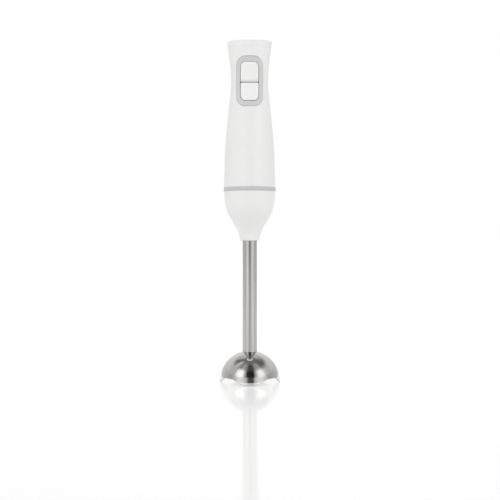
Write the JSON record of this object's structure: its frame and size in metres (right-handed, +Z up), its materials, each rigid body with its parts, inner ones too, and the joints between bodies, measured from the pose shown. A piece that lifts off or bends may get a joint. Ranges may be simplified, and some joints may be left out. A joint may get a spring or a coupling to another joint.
{
  "type": "immersion blender",
  "caption": "Slim stick blender: waisted motor handle with two speed buttons and a grey ring, and a twist-off steel foot with a lobed bell over a two-wing blade.",
  "frame": {"origin": "on the floor under the shaft axis, level with the tips of the blade guard's lobes", "axes": "+Z up the shaft, -Y to the front where the buttons are, +X to the right of someone who faces the buttons"},
  "size_m": [0.065, 0.065, 0.3643],
  "materials": {
    "white_plastic": "satin moulded ABS",
    "grey_plastic": "soft grey, fine texture",
    "inner_plastic": "black glass-filled nylon",
    "stainless": "polished stainless steel",
    "steel": "ground steel",
    "zinc_steel": "zinc-plated steel",
    "bronze": "sintered bronze",
    "copper": "enamelled copper",
    "rubber": "black rubber",
    "magnet": "ferrite, unpolished",
    "carbon": "pressed carbon",
    "board": "green solder mask"
  },
  "bodies": {
    "handle": {"front_shell": "white_plastic", "rear_shell": "white_plastic", "top_cap": "white_plastic", "cord_gland": "rubber", "button_surround": "grey_plastic", "trim_ring": "grey_plastic", "bayonet_socket": "inner_plastic", "switch_board": "board", "board_carrier": "inner_plastic", "board_screw_lower": "zinc_steel", "board_screw_upper": "zinc_steel", "microswitch_low": "inner_plastic", "microswitch_high": "inner_plastic", "rectifier": "inner_plastic", "capacitor": "grey_plastic", "button_spring_low": "steel", "button_spring_high": "steel", "motor_can": "zinc_steel", "magnet_left": "magnet", "magnet_right": "magnet", "motor_bracket": "inner_plastic", "bracket_screw_left": "zinc_steel", "bracket_screw_right": "zinc_steel", "lower_bearing": "steel", "upper_bearing": "steel", "brush_cap": "inner_plastic", "brush_left": "carbon", "brush_right": "carbon", "brush_spring_left": "steel", "brush_spring_right": "steel", "motor_damper_lower": "rubber", "motor_damper_upper": "rubber"},
    "button_low": {"button_low": "white_plastic", "plunger_low": "grey_plastic"},
    "button_high": {"button_high": "white_plastic", "plunger_high": "grey_plastic"},
    "rotor": {"motor_shaft": "steel", "armature": "steel", "winding_lower": "copper", "winding_upper": "copper", "commutator": "copper", "cooling_fan": "inner_plastic", "coupling_upper": "inner_plastic"},
    "foot": {"foot_cone": "white_plastic", "coupling_housing": "inner_plastic", "shaft_tube": "stainless", "blade_guard": "stainless", "seal_hub": "inner_plastic", "lower_bush": "bronze", "upper_bush": "bronze", "shaft_seal": "rubber", "thrust_washer": "zinc_steel"},
    "driven_shaft": {"drive_shaft": "steel", "coupling_lower": "inner_plastic", "retaining_clip": "steel", "blade": "stainless", "blade_collar": "steel", "blade_nut": "steel"}
  },
  "joints": [
    {"name": "button_low_press", "type": "slide", "parent": "handle", "child": "button_low", "axis": [0, 1, 0], "range_m": [0, 0.002], "stiffness_N_per_m": 900, "springref_m": -0.0015, "deforming": ["button_spring_low"]},
    {"name": "button_high_press", "type": "slide", "parent": "handle", "child": "button_high", "axis": [0, 1, 0], "range_m": [0, 0.002], "stiffness_N_per_m": 900, "springref_m": -0.0015, "deforming": ["button_spring_high"]},
    {"name": "rotor_spin", "type": "hinge", "parent": "handle", "child": "rotor", "pos_m": [0, 0, 0.25], "axis": [0, 0, 1], "continuous": true},
    {"name": "foot_twist", "type": "hinge", "parent": "handle", "child": "foot", "pos_m": [0, 0, 0.212], "axis": [0, 0, 1], "range_deg": [0, 26]},
    {"name": "blade_spin", "type": "hinge", "parent": "foot", "child": "driven_shaft", "pos_m": [0, 0, 0.1], "axis": [0, 0, 1], "continuous": true}
  ],
  "couplings": [
    {"joint": "blade_spin", "follows": "rotor_spin", "ratio": 1}
  ]
}
